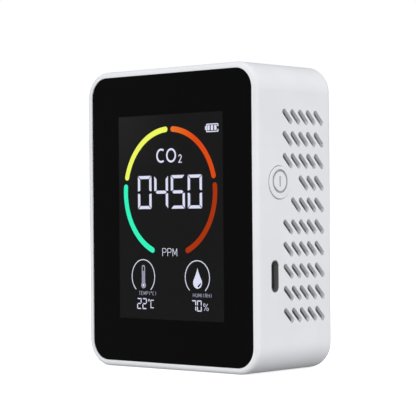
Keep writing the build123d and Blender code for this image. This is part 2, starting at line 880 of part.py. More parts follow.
# ---------------------------------------------------------------- other parts on the main board
mcu_x = 10.0
mcu_z = 50.0
mcu_size = 7.0
mcu_t = 1.4
mcu_lead_pitch = 0.8
mcu_lead_w = 0.35
mcu_leads_per_side = 8
charger_x = 16.0
charger_z = 24.0
charger_w = 4.9
charger_h = 3.9
charger_t = 1.45
charger_lead_pitch = 1.27
charger_lead_w = 0.42
chip_lift = 0.1
chip_chamfer = 0.15
dot_r = 0.5
dot_depth = 0.1
lead_foot = 1.0
lead_t = 0.3
lead_foot_t = 0.1
lead_h = 0.8
crystal_w = 3.2
crystal_h = 2.5
crystal_t = 0.9
crystal_r = 0.3
crystal_z = mcu_z - 7.5
inductor_size = 4.0
inductor_t = 2.0
inductor_r = 0.6
inductor_edge_r = 0.3
inductor_x = charger_x - 7.0
small_chip_w = 1.6
small_chip_h = 0.8
large_chip_w = 2.0
large_chip_h = 1.25
chip_pitch = 2.6
chip_row_pitch = 1.6
capacitor_t = 0.8
capacitor_pitch = 2.4
capacitor_row_pitch = 2.0
capacitors_z = mcu_z + 7.5
charger_capacitors_x = charger_x + 1.0
charger_capacitors_z = charger_z - 6.0
resistor_t = 0.45
side_resistors = (mcu_x + 9.0, mcu_z - 6.0)
low_resistors = (mcu_x - 8.0, mcu_z - 14.0)
buzzer_x = -17.0
buzzer_z = 19.5
buzzer_r = 4.75
buzzer_t = 5.0
buzzer_edge_r = 0.3
sound_hole_r = 1.0
sound_hole_depth = 1.5
climate_x = 28.0
climate_z = 68.0
climate_size = 2.5
climate_t = 0.9
climate_vent_r = 0.55
climate_vent_depth = 0.4

with BuildPart() as microcontroller:
    with BuildSketch(layer(board_rear_y + chip_lift + mcu_t)):
        with Locations((mcu_x, mcu_z)):
            Rectangle(mcu_size, mcu_size)
    extrude(amount=mcu_t)
    chamfer(microcontroller.faces().sort_by(Axis.Y)[-1].edges(), chip_chamfer)
    # Dot that marks the first lead
    with BuildSketch(layer(board_rear_y + chip_lift + mcu_t)):
        with Locations((mcu_x - mcu_size / 3, mcu_z + mcu_size / 3)):
            Circle(dot_r)
    extrude(amount=dot_depth, mode=Mode.SUBTRACT)

microcontroller.part.label = "microcontroller"
export_step(microcontroller.part, "parts/microcontroller.step")

with BuildPart() as microcontroller_leads:
    with BuildSketch(layer(board_rear_y + lead_foot_t)):
        with Locations((mcu_x, mcu_z)):
            with GridLocations(mcu_lead_pitch, mcu_size + lead_foot, mcu_leads_per_side, 2):
                Rectangle(mcu_lead_w, lead_foot)
            with GridLocations(mcu_size + lead_foot, mcu_lead_pitch, 2, mcu_leads_per_side):
                Rectangle(lead_foot, mcu_lead_w)
    extrude(amount=lead_foot_t)
    with BuildSketch(layer(board_rear_y + lead_h)):
        with Locations((mcu_x, mcu_z)):
            with GridLocations(mcu_lead_pitch, mcu_size + lead_t, mcu_leads_per_side, 2):
                Rectangle(mcu_lead_w, lead_t)
            with GridLocations(mcu_size + lead_t, mcu_lead_pitch, 2, mcu_leads_per_side):
                Rectangle(lead_t, mcu_lead_w)
    extrude(amount=lead_h)

microcontroller_leads.part.label = "microcontroller_leads"
export_step(microcontroller_leads.part, "parts/microcontroller_leads.step")

with BuildPart() as charger_chip:
    with BuildSketch(layer(board_rear_y + chip_lift + charger_t)):
        with Locations((charger_x, charger_z)):
            Rectangle(charger_w, charger_h)
    extrude(amount=charger_t)
    chamfer(charger_chip.faces().sort_by(Axis.Y)[-1].edges(), chip_chamfer)

charger_chip.part.label = "charger_chip"
export_step(charger_chip.part, "parts/charger_chip.step")

with BuildPart() as charger_leads:
    with BuildSketch(layer(board_rear_y + lead_foot_t)):
        with Locations((charger_x, charger_z)):
            with GridLocations(charger_lead_pitch, charger_h + lead_foot, 4, 2):
                Rectangle(charger_lead_w, lead_foot)
    extrude(amount=lead_foot_t)
    with BuildSketch(layer(board_rear_y + lead_h)):
        with Locations((charger_x, charger_z)):
            with GridLocations(charger_lead_pitch, charger_h + lead_t, 4, 2):
                Rectangle(charger_lead_w, lead_t)
    extrude(amount=lead_h)

charger_leads.part.label = "charger_leads"
export_step(charger_leads.part, "parts/charger_leads.step")

with BuildPart() as crystal:
    with BuildSketch(layer(board_rear_y + crystal_t)):
        with Locations((mcu_x, crystal_z)):
            RectangleRounded(crystal_w, crystal_h, crystal_r)
    extrude(amount=crystal_t)

crystal.part.label = "crystal"
export_step(crystal.part, "parts/crystal.step")

with BuildPart() as inductor:
    with BuildSketch(layer(board_rear_y + inductor_t)):
        with Locations((inductor_x, charger_z)):
            RectangleRounded(inductor_size, inductor_size, inductor_r)
    extrude(amount=inductor_t)
    fillet(inductor.faces().sort_by(Axis.Y)[-1].edges(), inductor_edge_r)

inductor.part.label = "inductor"
export_step(inductor.part, "parts/inductor.step")

with BuildPart() as ceramic_capacitors:
    with BuildSketch(layer(board_rear_y + capacitor_t)):
        with Locations((mcu_x, capacitors_z)):
            with GridLocations(capacitor_pitch, capacitor_row_pitch, 4, 2):
                Rectangle(small_chip_w, small_chip_h)
        with Locations((charger_capacitors_x, charger_capacitors_z)):
            with GridLocations(chip_pitch, 1, 3, 1):
                Rectangle(large_chip_w, large_chip_h)
    extrude(amount=capacitor_t)

ceramic_capacitors.part.label = "ceramic_capacitors"
export_step(ceramic_capacitors.part, "parts/ceramic_capacitors.step")

with BuildPart() as chip_resistors:
    with BuildSketch(layer(board_rear_y + resistor_t)):
        with Locations(side_resistors):
            with GridLocations(chip_pitch, chip_row_pitch, 2, 5):
                Rectangle(small_chip_w, small_chip_h)
        with Locations(low_resistors):
            with GridLocations(chip_row_pitch, chip_pitch, 3, 2):
                Rectangle(small_chip_h, small_chip_w)
    extrude(amount=resistor_t)

chip_resistors.part.label = "chip_resistors"
export_step(chip_resistors.part, "parts/chip_resistors.step")

with BuildPart() as climate_sensor:
    with BuildSketch(layer(board_rear_y + climate_t)):
        with Locations((climate_x, climate_z)):
            Rectangle(climate_size, climate_size)
            Circle(climate_vent_r, mode=Mode.SUBTRACT)
    extrude(amount=climate_vent_depth)
    with BuildSketch(layer(board_rear_y + climate_t - climate_vent_depth)):
        with Locations((climate_x, climate_z)):
            Rectangle(climate_size, climate_size)
    extrude(amount=climate_t - climate_vent_depth)

climate_sensor.part.label = "climate_sensor"
export_step(climate_sensor.part, "parts/climate_sensor.step")

with BuildPart() as buzzer:
    with BuildSketch(layer(board_rear_y + buzzer_t)):
        with Locations((buzzer_x, buzzer_z)):
            Circle(buzzer_r)
    extrude(amount=buzzer_t)
    fillet(buzzer.faces().sort_by(Axis.Y)[-1].edges(), buzzer_edge_r)
    with BuildSketch(layer(board_rear_y + buzzer_t)):
        with Locations((buzzer_x, buzzer_z)):
            Circle(sound_hole_r)
    extrude(amount=sound_hole_depth, mode=Mode.SUBTRACT)

buzzer.part.label = "buzzer"
export_step(buzzer.part, "parts/buzzer.step")

# ---------------------------------------------------------------- battery, its plug and leads
pad_t = 0.5
pad_inset = 2.0
pouch_r = 1.5
pouch_edge_r = 1.2
pack_rear_y = cover_front_y - pad_t
pack_front_y = pack_rear_y - pack_t
guard_inset = 3.0
guard_w = pack_w - 2 * guard_inset
guard_h = 3.0
guard_t = 1.2
guard_y = pack_front_y + guard_inset
guard_low_z = pack_z + pack_h / 2
plug_w = 5.6
plug_h = 4.0
plug_t = 6.0
plug_edge_r = 0.3
plug_gap = 0.1
plug_hole = 0.8
plug_hole_depth = 3.5
socket_t = 5.5
socket_wall = 0.8
socket_floor = 1.2
socket_hole_r = 0.4
socket_pin_w = 0.5
socket_pin_h = 4.2
plug_end_gap = 0.05
plug_front_y = board_rear_y + socket_floor + plug_end_gap
plug_rear_y = plug_front_y + plug_t

with BuildPart() as battery_cell:
    with BuildSketch(layer(pack_rear_y)):
        with Locations((0, pack_z)):
            RectangleRounded(pack_w, pack_h, pouch_r)
    extrude(amount=pack_t)
    fillet(battery_cell.faces().sort_by(Axis.Y)[0].edges(), pouch_edge_r)
    fillet(battery_cell.faces().sort_by(Axis.Y)[-1].edges(), pouch_edge_r)

battery_cell.part.label = "battery_cell"
export_step(battery_cell.part, "parts/battery_cell.step")

with BuildPart() as battery_guard_board:
    with BuildSketch(layer(guard_y + guard_t / 2)):
        with Locations((0, guard_low_z + guard_h / 2)):
            Rectangle(guard_w, guard_h)
    extrude(amount=guard_t)

battery_guard_board.part.label = "battery_guard_board"
export_step(battery_guard_board.part, "parts/battery_guard_board.step")

with BuildPart() as battery_pad:
    with BuildSketch(layer(cover_front_y)):
        with Locations((0, pack_z)):
            Rectangle(pack_w - 2 * pad_inset, pack_h - 2 * pad_inset)
    extrude(amount=pad_t)

battery_pad.part.label = "battery_pad"
export_step(battery_pad.part, "parts/battery_pad.step")

with BuildPart() as battery_socket:
    with BuildSketch(layer(board_rear_y + socket_t)):
        with Locations((socket_x, socket_z)):
            Rectangle(
                plug_w + 2 * (plug_gap + socket_wall), plug_h + 2 * (plug_gap + socket_wall)
            )
    extrude(amount=socket_t)
    with BuildSketch(layer(board_rear_y + socket_t)):
        with Locations((socket_x, socket_z)):
            Rectangle(plug_w + 2 * plug_gap, plug_h + 2 * plug_gap)
    extrude(amount=socket_t - socket_floor, mode=Mode.SUBTRACT)
    with BuildSketch(layer(board_rear_y + socket_floor)):
        with Locations((socket_x, socket_z)):
            with GridLocations(lead_pitch, 1, 2, 1):
                Circle(socket_hole_r)
    extrude(amount=socket_floor, mode=Mode.SUBTRACT)

battery_socket.part.label = "battery_socket"
export_step(battery_socket.part, "parts/battery_socket.step")

with BuildPart() as battery_socket_pins:
    with BuildSketch(layer(board_rear_y + socket_pin_h)):
        with Locations((socket_x, socket_z)):
            with GridLocations(lead_pitch, 1, 2, 1):
                Rectangle(socket_pin_w, socket_pin_w)
    extrude(amount=board_rear_y + socket_pin_h - flush_pin_y)

battery_socket_pins.part.label = "battery_socket_pins"
export_step(battery_socket_pins.part, "parts/battery_socket_pins.step")

with BuildPart() as battery_plug:
    with BuildSketch(layer(plug_rear_y)):
        with Locations((socket_x, socket_z)):
            Rectangle(plug_w, plug_h)
    extrude(amount=plug_t)
    with BuildSketch(layer(plug_front_y + plug_hole_depth)):
        with Locations((socket_x, socket_z)):
            with GridLocations(lead_pitch, 1, 2, 1):
                Rectangle(plug_hole, plug_hole)
    extrude(amount=plug_hole_depth, mode=Mode.SUBTRACT)
    fillet(battery_plug.faces().sort_by(Axis.Y)[-1].edges(), plug_edge_r)

battery_plug.part.label = "battery_plug"
export_step(battery_plug.part, "parts/battery_plug.step")

# Each lead rises from the guard board and turns forwards into the plug.
lead_start_z = guard_low_z + guard_h
lead_bend_r = 4.05


def lead_points(x):
    """Route of the battery lead that lies at x."""
    return [(x, guard_y, lead_start_z), (x, guard_y, socket_z), (x, plug_rear_y, socket_z)]


lead_x = socket_x - lead_pitch / 2
with BuildPart() as battery_lead_red:
    with BuildLine():
        FilletPolyline(*lead_points(lead_x), radius=lead_bend_r)
    with BuildSketch(Plane(origin=(lead_x, guard_y, lead_start_z), z_dir=(0, 0, 1))):
        Circle(lead_d / 2)
    sweep()

battery_lead_red.part.label = "battery_lead_red"
export_step(battery_lead_red.part, "parts/battery_lead_red.step")

lead_x = socket_x + lead_pitch / 2
with BuildPart() as battery_lead_black:
    with BuildLine():
        FilletPolyline(*lead_points(lead_x), radius=lead_bend_r)
    with BuildSketch(Plane(origin=(lead_x, guard_y, lead_start_z), z_dir=(0, 0, 1))):
        Circle(lead_d / 2)
    sweep()

battery_lead_black.part.label = "battery_lead_black"
export_step(battery_lead_black.part, "parts/battery_lead_black.step")
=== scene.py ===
"""Looks of the desktop carbon dioxide monitor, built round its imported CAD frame.

Lengths in the drawing of the display are millimetres from the middle of the front lens, as they
are seen through it from the camera: x to the right, z up. MM turns them into the frame's metres.
"""
import json
import math

import bmesh
import bpy
from mathutils import Matrix, Vector
from mathutils.geometry import delaunay_2d_cdt


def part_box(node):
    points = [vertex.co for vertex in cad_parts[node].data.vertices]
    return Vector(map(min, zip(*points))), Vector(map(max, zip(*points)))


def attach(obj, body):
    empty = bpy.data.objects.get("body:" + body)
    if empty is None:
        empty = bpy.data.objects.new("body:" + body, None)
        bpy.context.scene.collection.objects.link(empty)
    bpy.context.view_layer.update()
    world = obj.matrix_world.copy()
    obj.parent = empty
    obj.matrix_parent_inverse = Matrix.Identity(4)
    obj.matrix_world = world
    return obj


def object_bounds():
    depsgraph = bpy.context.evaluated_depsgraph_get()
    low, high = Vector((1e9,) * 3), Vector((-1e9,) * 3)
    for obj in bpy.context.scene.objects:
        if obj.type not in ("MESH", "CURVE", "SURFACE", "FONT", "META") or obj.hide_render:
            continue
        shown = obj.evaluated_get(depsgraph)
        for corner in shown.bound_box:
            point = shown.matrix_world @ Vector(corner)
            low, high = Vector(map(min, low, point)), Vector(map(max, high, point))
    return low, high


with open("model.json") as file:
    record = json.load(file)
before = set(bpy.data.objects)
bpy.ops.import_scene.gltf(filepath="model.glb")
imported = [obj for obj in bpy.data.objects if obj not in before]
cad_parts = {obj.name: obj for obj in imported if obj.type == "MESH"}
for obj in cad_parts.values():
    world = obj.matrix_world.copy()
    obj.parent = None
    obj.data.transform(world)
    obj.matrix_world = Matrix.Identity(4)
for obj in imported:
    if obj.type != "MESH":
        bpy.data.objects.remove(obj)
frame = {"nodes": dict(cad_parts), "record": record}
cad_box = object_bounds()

MM = 0.001
CASE = "case"
nodes = frame["nodes"]
lens_low, lens_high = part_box("front_lens")
film_low, film_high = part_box("lcd_front_polariser")
housing_low, housing_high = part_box("housing")
figure_x = -0.70 * MM     # what the lens and the gap behind it shift the drawing by
figure_z = (lens_low.z + lens_high.z) / 2
figure_t = 0.03 * MM      # thickness of the lit shapes
figure_front_y = film_low.y - figure_t


# ------------------------------------------------------------------ shader helpers
def srgb(r, g, b):
    """Linear colour of an 0 to 255 screen colour."""
    def channel(v):
        v /= 255
        return v / 12.92 if v <= 0.04045 else ((v + 0.055) / 1.055) ** 2.4
    return (channel(r), channel(g), channel(b), 1.0)


class Shader:
    """A node material round one Principled shader, with short calls for what its surface has."""

    def __init__(self, name, **sockets):
        self.material = bpy.data.materials.new(name)
        self.material.use_nodes = True
        self.tree = self.material.node_tree
        self.tree.nodes.clear()
        self.surface = self.node("ShaderNodeBsdfPrincipled")
        out = self.node("ShaderNodeOutputMaterial")
        self.join(self.surface.outputs[0], out.inputs["Surface"])
        self.place = self.node("ShaderNodeTexCoord").outputs["Object"]
        self.height = None
        for socket, value in sockets.items():
            self.surface.inputs[socket.replace("_", " ")].default_value = value

    def node(self, kind, **settings):
        made = self.tree.nodes.new(kind)
        for key, value in settings.items():
            setattr(made, key, value)
        return made

    def join(self, source, target):
        self.tree.links.new(source, target)

    def stretched(self, x, y, z):
        """The place, scaled along each axis."""
        mapping = self.node("ShaderNodeMapping")
        mapping.inputs["Scale"].default_value = (x, y, z)
        self.join(self.place, mapping.inputs["Vector"])
        return mapping.outputs[0]

    def noise(self, size, detail=3.0, rough=0.5, place=None):
        """Noise whose blobs are about size metres across."""
        made = self.node("ShaderNodeTexNoise")
        made.inputs["Scale"].default_value = 1 / size
        made.inputs["Detail"].default_value = detail
        made.inputs["Roughness"].default_value = rough
        self.join(place or self.place, made.inputs["Vector"])
        return made.outputs["Fac"]

    def cells(self, size):
        """Distance from the middle of round cells, about size metres apart."""
        made = self.node("ShaderNodeTexVoronoi")
        made.inputs["Scale"].default_value = 1 / size
        self.join(self.place, made.inputs["Vector"])
        return made.outputs["Distance"]

    def spread(self, value, low, high, from_low=0.3, from_high=0.7):
        """value, moved from one range to another."""
        made = self.node("ShaderNodeMapRange")
        for key, number in (
            ("From Min", from_low), ("From Max", from_high), ("To Min", low), ("To Max", high)
        ):
            made.inputs[key].default_value = number
        self.join(value, made.inputs["Value"])
        return made.outputs["Result"]

    def along_x(self, start, end):
        """0 to 1 between two places along the width."""
        split = self.node("ShaderNodeSeparateXYZ")
        self.join(self.place, split.inputs[0])
        return self.spread(split.outputs["X"], 0.0, 1.0, start, end)

    def stirred(self, value, grain, amount):
        """value with a little of the grain added to it."""
        made = self.node("ShaderNodeMath", operation="ADD")
        self.join(value, made.inputs[0])
        self.join(self.spread(grain, -amount, amount), made.inputs[1])
        return made.outputs[0]

    def ramp(self, value, *stops):
        """Colours along value. Each stop is (position, colour)."""
        made = self.node("ShaderNodeValToRGB")
        elements = made.color_ramp.elements
        while len(elements) < len(stops):
            elements.new(0.5)
        for element, (position, colour) in zip(elements, stops):
            element.position = position
            element.color = colour
        self.join(value, made.inputs["Fac"])
        return made.outputs["Color"]

    def colour(self, source):
        self.join(source, self.surface.inputs["Base Color"])

    def rough(self, value, low, high):
        self.join(self.spread(value, low, high), self.surface.inputs["Roughness"])

    def bump(self, value, depth, strength=1.0):
        """Relief of depth metres, on top of any that is there."""
        made = self.node("ShaderNodeBump")
        made.inputs["Distance"].default_value = depth
        made.inputs["Strength"].default_value = strength
        self.join(value, made.inputs["Height"])
        if self.height:
            self.join(self.height, made.inputs["Normal"])
        self.height = made.outputs["Normal"]
        self.join(self.height, self.surface.inputs["Normal"])


def shade(colour, factor):
    """colour, lighter or darker."""
    return (*(min(1.0, c * factor) for c in colour[:3]), 1.0)


# ------------------------------------------------------------------ materials
CASE_GRAIN = 0.22 * MM
CASE_ROUGH = 0.42
MOULD_DEPTH = 0.004 * MM
BRUSH_SIZE = 0.9 * MM
BRUSH_DEPTH = 0.002 * MM
LIT_STRENGTH = 1.08
LIT_BASE = (0.004, 0.004, 0.005, 1.0)


def eroded(s, rough, grain):
    """The fine spark-eroded grain that a mould leaves."""
    fine = s.noise(grain, detail=2.0, rough=0.6)
    s.rough(fine, rough - 0.05, rough + 0.06)
    s.bump(fine, MOULD_DEPTH)


def moulded(name, colour, rough=CASE_ROUGH, grain=CASE_GRAIN):
    """Injection-moulded plastic, with faint flow marks."""
    s = Shader(name)
    flow = s.noise(14 * MM, detail=2.0)
    s.colour(s.ramp(flow, (0.3, shade(colour, 0.975)), (0.7, shade(colour, 1.015))))
    eroded(s, rough, grain)
    return s.material


def marked(name, colour, groove_shade, face_x):
    """Moulded plastic like the case, greyer in what is sunk below its face: painted shade."""
    sunk_x, shallow_x = face_x - 0.4 * MM, face_x - 0.15 * MM
    s = Shader(name)
    # Painted shade: the colour turns grey below the face, in the marks and down the cap's sides
    height = s.stirred(s.along_x(sunk_x, shallow_x), s.noise(0.6 * MM), 0.05)
    s.colour(s.ramp(height, (0.0, groove_shade), (0.9, shade(colour, 0.99)), (1.0, colour)))
    eroded(s, CASE_ROUGH, CASE_GRAIN)
    return s.material


def brushed(name, colour, along, rough=0.3):
    """Plated metal with fine drawn lines and slight staining."""
    s = Shader(name, Metallic=1.0)
    lines = s.noise(BRUSH_SIZE, detail=4.0, rough=0.65, place=s.stretched(*along))
    stain = s.noise(1.6 * MM, detail=3.0)
    s.colour(s.ramp(stain, (0.3, shade(colour, 0.82)), (0.7, shade(colour, 1.08))))
    s.rough(lines, rough - 0.08, rough + 0.14)
    s.bump(lines, BRUSH_DEPTH)
    return s.material


def drawn_shell(name, colour, rim_x):
    """Tinned sheet, drawn into a shell, darker at its mouth: painted shade."""
    inner_x, outer_x = rim_x - 0.08 * MM, rim_x - 0.02 * MM
    s = Shader(name, Metallic=0.8)
    lines = s.noise(BRUSH_SIZE, detail=4.0, rough=0.65, place=s.stretched(10, 1, 1))
    # Painted shade: darker over the last 0.08 mm towards the mouth
    rim_shade = s.stirred(s.along_x(inner_x, outer_x), s.noise(1.6 * MM), 0.08)
    s.colour(s.ramp(rim_shade, (0.0, colour), (1.0, shade(colour, 0.45))))
    s.rough(lines, 0.26, 0.48)
    s.bump(lines, BRUSH_DEPTH)
    return s.material


def clear(name, tint, ior, **sockets):
    """Clear sheet with hardly visible smears."""
    s = Shader(name, IOR=ior, **sockets)
    s.surface.inputs["Transmission Weight"].default_value = 1.0
    haze = s.noise(9 * MM, detail=3.0, rough=0.6)
    s.colour(s.ramp(haze, (0.3, tint), (0.7, shade(tint, 0.985))))
    s.rough(haze, 0.0, 0.03)
    return s.material


def ink(name, colour):
    """Screen-printed ink: flat, with the faint texture of the mesh."""
    s = Shader(name)
    mesh = s.cells(0.12 * MM)
    blot = s.noise(6 * MM, detail=2.0)
    s.colour(s.ramp(blot, (0.3, shade(colour, 0.92)), (0.7, shade(colour, 1.08))))
    s.rough(mesh, 0.42, 0.55)
    s.bump(mesh, depth=0.001 * MM)
    return s.material


def film(name, colour, leak_and_reflection, corner):
    """Polariser in front of a lit screen: dark, with the little light that the crystals let by,
    and a painted reflection that brightens it towards one corner."""
    s = Shader(name, Specular_IOR_Level=0.2)
    uneven = s.noise(30 * MM, detail=1.0)
    s.colour(s.ramp(uneven, (0.3, shade(colour, 0.9)), (0.7, shade(colour, 1.1))))
    # Painted reflection: the glow rises towards the corner
    away = s.node("ShaderNodeVectorMath", operation="DISTANCE")
    s.join(s.place, away.inputs[0])
    away.inputs[1].default_value = corner
    near = s.spread(away.outputs["Value"], 1.0, 0.0, from_low=2 * MM, from_high=24 * MM)
    near = s.stirred(near, uneven, 0.05)
    glow = s.ramp(near, (0.0, shade(leak_and_reflection, 0.96)), (1.0, shade(leak_and_reflection, 2.2)))
    s.join(glow, s.surface.inputs["Emission Color"])
    s.surface.inputs["Emission Strength"].default_value = 1.0
    fine = s.noise(0.3 * MM, detail=2.0)
    s.rough(fine, 0.3, 0.38)
    s.bump(fine, depth=0.0005 * MM)
    return s.material


def lit(name, colour, dim=None, across=None):
    """A lit figure of the display. dim is a second colour that it fades from, between the two
    places along X in across."""
    s = Shader(name, Base_Color=LIT_BASE, Specular_IOR_Level=0.2)
    grain = s.noise(0.35 * MM, detail=2.0)
    if dim:
        blend = s.stirred(s.along_x(*across), grain, 0.04)
        tone = s.ramp(blend, (0.0, dim), (1.0, colour))
    else:
        tone = s.ramp(grain, (0.3, shade(colour, 0.96)), (0.7, shade(colour, 1.02)))
    s.join(tone, s.surface.inputs["Emission Color"])
    s.surface.inputs["Emission Strength"].default_value = LIT_STRENGTH
    s.rough(grain, 0.3, 0.4)
    return s.material


def circuit_board(name):
    """Green solder mask over copper: tracks, a weave below them and small plated pads."""
    s = Shader(name, Coat_Weight=0.35, Coat_Roughness=0.2)
    tracks = s.node("ShaderNodeTexBrick", offset=0.5, squash=0.6, squash_frequency=3)
    for key, number in (
        ("Scale", 1 / (9 * MM)), ("Mortar Size", 0.022), ("Brick Width", 0.9), ("Row Height", 0.11)
    ):
        tracks.inputs[key].default_value = number
    tracks.inputs["Color1"].default_value = (0.010, 0.085, 0.035, 1)
    tracks.inputs["Color2"].default_value = (0.012, 0.105, 0.045, 1)
    tracks.inputs["Mortar"].default_value = (0.035, 0.21, 0.085, 1)
    turned = s.node("ShaderNodeMapping")
    turned.inputs["Rotation"].default_value = (math.radians(90), 0, 0)
    s.join(s.place, turned.inputs["Vector"])
    s.join(turned.outputs[0], tracks.inputs["Vector"])
    s.colour(tracks.outputs["Color"])
    weave = s.noise(0.4 * MM, detail=2.0, rough=0.5, place=s.stretched(1, 1, 3))
    s.rough(weave, 0.28, 0.42)
    s.bump(tracks.outputs["Fac"], depth=0.02 * MM, strength=0.8)
    s.bump(weave, depth=0.002 * MM)
    return s.material


def foil(name, colour):
    """Laminated pouch foil with soft creases."""
    s = Shader(name, Metallic=0.85)
    crease = s.noise(5 * MM, detail=4.0, rough=0.6)
    s.colour(s.ramp(crease, (0.3, shade(colour, 0.9)), (0.7, shade(colour, 1.06))))
    s.rough(s.noise(1.2 * MM), 0.26, 0.4)
    s.bump(crease, depth=0.12 * MM, strength=0.6)
    return s.material


def membrane(name, colour):
    """Porous felted sheet."""
    s = Shader(name, Sheen_Weight=0.3, Sheen_Roughness=0.6)
    fibres = s.noise(0.25 * MM, detail=5.0, rough=0.7)
    s.colour(s.ramp(fibres, (0.25, shade(colour, 0.88)), (0.75, colour)))
    s.rough(fibres, 0.8, 0.95)
    s.bump(fibres, depth=0.03 * MM)
    return s.material


def rubbery(name, colour):
    """Silicone insulation, dull with fine dust."""
    s = Shader(name)
    dust = s.noise(0.8 * MM, detail=4.0)
    s.colour(s.ramp(dust, (0.3, shade(colour, 0.85)), (0.7, shade(colour, 1.15))))
    s.rough(dust, 0.5, 0.68)
    s.bump(s.noise(0.15 * MM), depth=0.003 * MM)
    return s.material


def light_guide(name):
    """Clear guide with the printed dots that send its light forward."""
    s = Shader(name, IOR=1.49)
    s.surface.inputs["Transmission Weight"].default_value = 0.7
    dots = s.cells(1.1 * MM)
    s.colour(s.ramp(dots, (0.2, (0.95, 0.96, 0.97, 1)), (0.3, (0.78, 0.82, 0.84, 1))))
    s.rough(dots, 0.08, 0.3)
    s.bump(dots, depth=0.01 * MM)
    return s.material


WHITE = srgb(229, 230, 233)
# Painted shade for the button's engraved marks and the sides of its cap
GROOVE_SHADE_GREY = srgb(187, 188, 190)
FILM_BLACK = (0.004, 0.004, 0.004, 1)
# Light the crystals let by, raised towards one corner as a painted reflection
FILM_LEAK_AND_REFLECTION = srgb(19, 19, 19)
ACRYLIC_TINT = (0.97, 0.975, 0.98, 1)
film_reflection_corner = (film_low.x, film_low.y, film_high.z)
# Mouth of the socket shell, where its painted shade lies
socket_rim_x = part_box("usb_shell")[1].x
FINISHES = {
    "white_abs": moulded("white_abs", WHITE),
    "white_plastic": moulded("white_plastic", (0.82, 0.82, 0.80, 1), rough=0.5),
    "black_plastic": moulded("black_plastic", (0.008, 0.008, 0.009, 1), rough=0.5, grain=0.12 * MM),
    "ceramic_tan": moulded("ceramic_tan", (0.42, 0.29, 0.17, 1), rough=0.6, grain=0.1 * MM),
    "screw_steel": brushed("screw_steel", (0.50, 0.51, 0.53, 1), along=(6, 1, 6)),
    "socket_steel": drawn_shell("socket_steel", (0.70, 0.70, 0.71, 1), socket_rim_x),
    "tinned_steel": brushed("tinned_steel", (0.62, 0.62, 0.60, 1), along=(1, 8, 1)),
    "gold_plate": brushed("gold_plate", (0.90, 0.62, 0.24, 1), along=(1, 8, 1), rough=0.24),
    "clear_acrylic": clear("clear_acrylic", ACRYLIC_TINT, ior=1.49, Specular_IOR_Level=0.15),
    "display_glass": clear("display_glass", (0.90, 0.95, 0.93, 1), ior=1.52),
    "lamp_glass": clear("lamp_glass", (0.95, 0.94, 0.90, 1), ior=1.47),
    "clear_guide": light_guide("clear_guide"),
    "black_ink": ink("black_ink", srgb(16, 18, 15)),
    "polariser_film": film("polariser_film", FILM_BLACK, FILM_LEAK_AND_REFLECTION, film_reflection_corner),
    "green_board": circuit_board("green_board"),
    "white_membrane": membrane("white_membrane", (0.84, 0.84, 0.80, 1)),
    "battery_foil": foil("battery_foil", (0.70, 0.71, 0.73, 1)),
    "red_wire": rubbery("red_wire", (0.42, 0.012, 0.010, 1)),
    "black_wire": rubbery("black_wire", (0.014, 0.014, 0.015, 1)),
}


def dress(node, material):
    """Gives every face of a CAD node its material."""
    for slot in nodes[node].material_slots:
        slot.material = material


for part in frame["record"]["subparts"]:
    dress(part["node"], FINISHES[part["material_slot"]])

button_face_x = max(v.co.x for v in nodes["power_button"].data.vertices)
# The button's engraved marks and cap sides get painted shade
dress("power_button", marked("button_abs", WHITE, GROOVE_SHADE_GREY, button_face_x))


# ------------------------------------------------------------------ drawing helpers
def arc(cx, cz, rx, start, end, rz=None, steps=None):
    """Points along an arc or an ellipse, from one angle in degrees to another."""
    steps = steps or max(3, round(abs(end - start) / 6))
    rz = rz or rx
    turns = [math.radians(start + (end - start) * i / steps) for i in range(steps + 1)]
    return [(cx + rx * math.cos(a), cz + rz * math.sin(a)) for a in turns]


def box_outline(x, z, w, h, r):
    """Outline of a box from its low corner, with corners of radius r."""
    left, right, low, high = x + r, x + w - r, z + r, z + h - r
    middles = [(right, high, 0), (left, high, 90), (left, low, 180), (right, low, 270)]
    return [p for cx, cz, a in middles for p in arc(cx, cz, r, a, a + 90, steps=5)]


def disc(x, z, r):
    """Outline of a round dot: 24 points."""
    return arc(x, z, r, 0, 345, steps=23)


SHARPEST = 0.35     # cosine of half the turn past which a corner of a line is cut short
JOINED = 1e-5       # corners nearer than this are one, in millimetres


